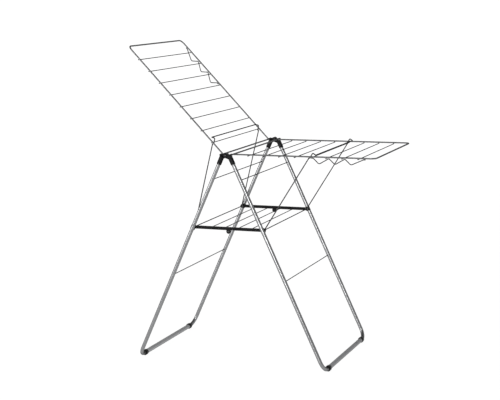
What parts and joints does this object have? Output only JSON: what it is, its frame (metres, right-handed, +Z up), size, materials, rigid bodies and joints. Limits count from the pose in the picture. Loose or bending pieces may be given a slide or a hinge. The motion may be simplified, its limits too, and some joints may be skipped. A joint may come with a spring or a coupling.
{
  "type": "clothes drying rack",
  "caption": "Folding metal clothes drying rack with hinged tube legs, two tilting wire wings propped by wire stays, and a fold-up tray.",
  "frame": {"origin": "on the floor, at the middle of the rack's bounding box as it stands with one wing raised and one flat", "axes": "+Z up, +X from the raised wing towards the flat wing, +Y from the front to the back, along the hinge lines"},
  "size_m": [1.0146, 0.582, 1.2664],
  "materials": {
    "tube_metal": "satin silver coat on steel tube",
    "wire_metal": "satin silver coat on steel wire",
    "rivet_metal": "blackened steel",
    "black_plastic": "black moulded plastic with a slight sheen"
  },
  "bodies": {
    "left_leg": {"left_front_leg_tube": "tube_metal", "left_back_leg_tube": "tube_metal", "left_front_hinge_cap": "black_plastic", "left_back_hinge_cap": "black_plastic", "left_front_tray_saddle": "black_plastic", "left_back_tray_saddle": "black_plastic", "left_front_foot": "black_plastic", "left_back_foot": "black_plastic", "left_upper_brace": "wire_metal", "left_lower_brace": "wire_metal", "left_floor_bar": "tube_metal", "left_pivot_rod": "wire_metal", "front_top_rivet": "rivet_metal", "back_top_rivet": "rivet_metal"},
    "right_leg": {"right_front_leg_tube": "tube_metal", "right_back_leg_tube": "tube_metal", "right_front_hinge_cap": "black_plastic", "right_back_hinge_cap": "black_plastic", "right_front_tray_saddle": "black_plastic", "right_back_tray_saddle": "black_plastic", "right_front_foot": "black_plastic", "right_back_foot": "black_plastic", "right_upper_brace": "wire_metal", "right_lower_brace": "wire_metal", "right_floor_bar": "tube_metal", "right_pivot_rod": "wire_metal"},
    "left_wing": {"left_wing_frame": "wire_metal", "left_wing_pivot_bar": "wire_metal", "left_wing_wire_1": "wire_metal", "left_wing_wire_2": "wire_metal", "left_wing_wire_3": "wire_metal", "left_wing_wire_4": "wire_metal", "left_wing_wire_5": "wire_metal", "left_wing_wire_6": "wire_metal", "left_wing_wire_7": "wire_metal", "left_wing_wire_8": "wire_metal", "left_hanger_wire": "wire_metal"},
    "right_wing": {"right_wing_frame": "wire_metal", "right_wing_pivot_bar": "wire_metal", "right_wing_wire_1": "wire_metal", "right_wing_wire_2": "wire_metal", "right_wing_wire_3": "wire_metal", "right_wing_wire_4": "wire_metal", "right_wing_wire_5": "wire_metal", "right_wing_wire_6": "wire_metal", "right_wing_wire_7": "wire_metal", "right_wing_wire_8": "wire_metal", "right_hanger_wire": "wire_metal"},
    "left_stay": {"left_stay_wire": "wire_metal"},
    "right_stay": {"right_stay_wire": "wire_metal"},
    "tray_left": {"left_front_tray_bar": "black_plastic", "left_back_tray_bar": "black_plastic", "left_tray_inner_wire": "wire_metal", "left_tray_outer_wire": "wire_metal", "front_tray_pin": "rivet_metal", "back_tray_pin": "rivet_metal"},
    "tray_right": {"right_front_tray_bar": "black_plastic", "right_back_tray_bar": "black_plastic", "right_tray_inner_wire": "wire_metal", "right_tray_outer_wire": "wire_metal"}
  },
  "joints": [
    {"name": "legs_fold", "type": "hinge", "parent": "left_leg", "child": "right_leg", "pos_m": [-0.08983, 0, 0.845], "axis": [0, 1, 0], "range_deg": [0, 49]},
    {"name": "tray_left_fold", "type": "hinge", "parent": "left_leg", "child": "tray_left", "pos_m": [-0.23683, 0, 0.553], "axis": [0, -1, 0], "range_deg": [0, 64.97]},
    {"name": "tray_right_fold", "type": "hinge", "parent": "tray_left", "child": "tray_right", "pos_m": [-0.08983, 0, 0.5417], "axis": [0, 1, 0], "range_deg": [0, 178.95]},
    {"name": "right_wing_tilt", "type": "hinge", "parent": "right_leg", "child": "right_wing", "pos_m": [-0.0695, 0, 0.84647], "axis": [0, -1, 0], "range_deg": [0, 46.61]},
    {"name": "left_wing_tilt", "type": "hinge", "parent": "left_leg", "child": "left_wing", "pos_m": [-0.11015, 0, 0.84647], "axis": [0, 1, 0], "range_deg": [-46.61, 0]},
    {"name": "right_stay_swing", "type": "hinge", "parent": "right_leg", "child": "right_stay", "pos_m": [0.05717, 0, 0.553], "axis": [0, -1, 0], "range_deg": [0, 46.72]},
    {"name": "left_stay_swing", "type": "hinge", "parent": "left_leg", "child": "left_stay", "pos_m": [-0.23683, 0, 0.553], "axis": [0, 1, 0], "range_deg": [-46.72, 0]}
  ],
  "couplings": [
    {"joint": "tray_left_fold", "follows": "legs_fold", "ratio": 1.3258},
    {"joint": "tray_right_fold", "follows": "legs_fold", "ratio": 3.6516},
    {"joint": "right_stay_swing", "follows": "right_wing_tilt", "ratio": 1.0013},
    {"joint": "left_stay_swing", "follows": "left_wing_tilt", "ratio": 1.0013}
  ]
}
